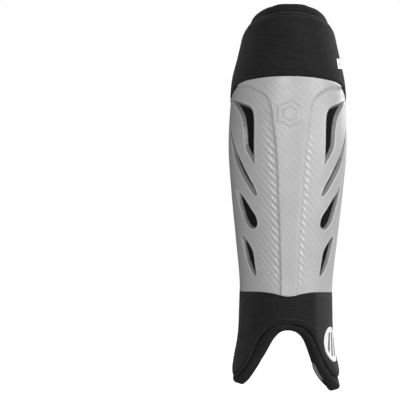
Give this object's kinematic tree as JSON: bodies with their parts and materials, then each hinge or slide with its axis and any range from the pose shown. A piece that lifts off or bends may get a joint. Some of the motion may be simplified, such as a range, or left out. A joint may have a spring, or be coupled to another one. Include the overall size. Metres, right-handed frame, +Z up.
{
  "type": "field hockey shin guard",
  "caption": "Left-leg field hockey shin guard: vented plastic shell on foam, padded knee cuff, ankle arch with two lobes, inner liner and two elastic straps.",
  "frame": {"origin": "centre of the bounding box at its lowest point, under the ankle lobes", "axes": "+X towards the guard's outer side (the side with the ankle badge), -Y to the front, +Y towards the calf and the straps, +Z up along the shin"},
  "size_m": [0.1098, 0.1066, 0.359],
  "materials": {
    "shell_plastic": "satin, fine embossed weave",
    "spacer_mesh": "matte",
    "jersey": "matte",
    "foam": "matte foam",
    "loop_pile": "matte pile",
    "edge_tape": "matte",
    "webbing": "matte ribbed",
    "hook_tape": "matte",
    "hard_plastic": "satin",
    "white_print": "satin"
  },
  "bodies": {
    "guard": {"shell": "shell_plastic", "backing": "spacer_mesh", "knee_cover": "jersey", "ankle_cover": "jersey", "knee_pad": "foam", "ankle_pad": "foam", "ankle_cup_outer": "hard_plastic", "ankle_cup_inner": "hard_plastic", "foam_board": "foam", "back_lining": "loop_pile", "edge_binding": "edge_tape", "ankle_badge": "white_print", "cuff_print": "white_print", "liner_pad": "foam", "liner_face": "jersey", "liner_top_roll": "jersey", "liner_ankle_roll": "jersey", "liner_hook_dot_1": "hook_tape", "liner_hook_dot_2": "hook_tape", "liner_hook_dot_3": "hook_tape", "liner_hook_dot_4": "hook_tape", "upper_loop_patch": "loop_pile", "upper_strap_anchor": "webbing", "lower_loop_patch": "loop_pile", "lower_strap_anchor": "webbing"},
    "upper_strap": {"upper_strap": "webbing", "upper_hook_tab": "hook_tape"},
    "lower_strap": {"lower_strap": "webbing", "lower_hook_tab": "hook_tape"}
  },
  "joints": [
    {"name": "upper_strap_hinge", "type": "hinge", "parent": "guard", "child": "upper_strap", "pos_m": [-0.04686, 0.02642, 0.23003], "axis": [-0.0066, 0.0129, 0.9999], "range_deg": [0, 110]},
    {"name": "lower_strap_hinge", "type": "hinge", "parent": "guard", "child": "lower_strap", "pos_m": [-0.04052, 0.01934, 0.13035], "axis": [-0.1026, 0.028, 0.9943], "range_deg": [0, 110]}
  ]
}
